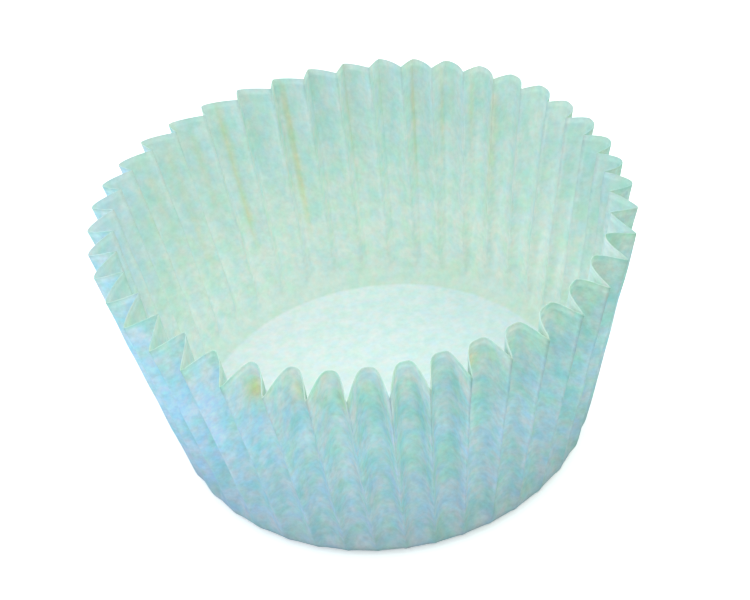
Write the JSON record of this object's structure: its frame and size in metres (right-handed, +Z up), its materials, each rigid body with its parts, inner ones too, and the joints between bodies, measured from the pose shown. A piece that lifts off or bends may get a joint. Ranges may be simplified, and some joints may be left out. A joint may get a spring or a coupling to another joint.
{
  "type": "cupcake liner",
  "caption": "Pale mint paper cupcake liner: a pleated cup with a smooth flat floor and a zigzag rim.",
  "frame": {"origin": "centre of the floor's underside, on the surface that the liner stands on", "axes": "+Z up along the cup's axis; -Y is the side nearest the camera in the picture"},
  "size_m": [0.0625, 0.062, 0.0326],
  "materials": {
    "greaseproof_paper": "matte"
  },
  "bodies": {
    "root": {"liner": "greaseproof_paper"}
  },
  "joints": []
}
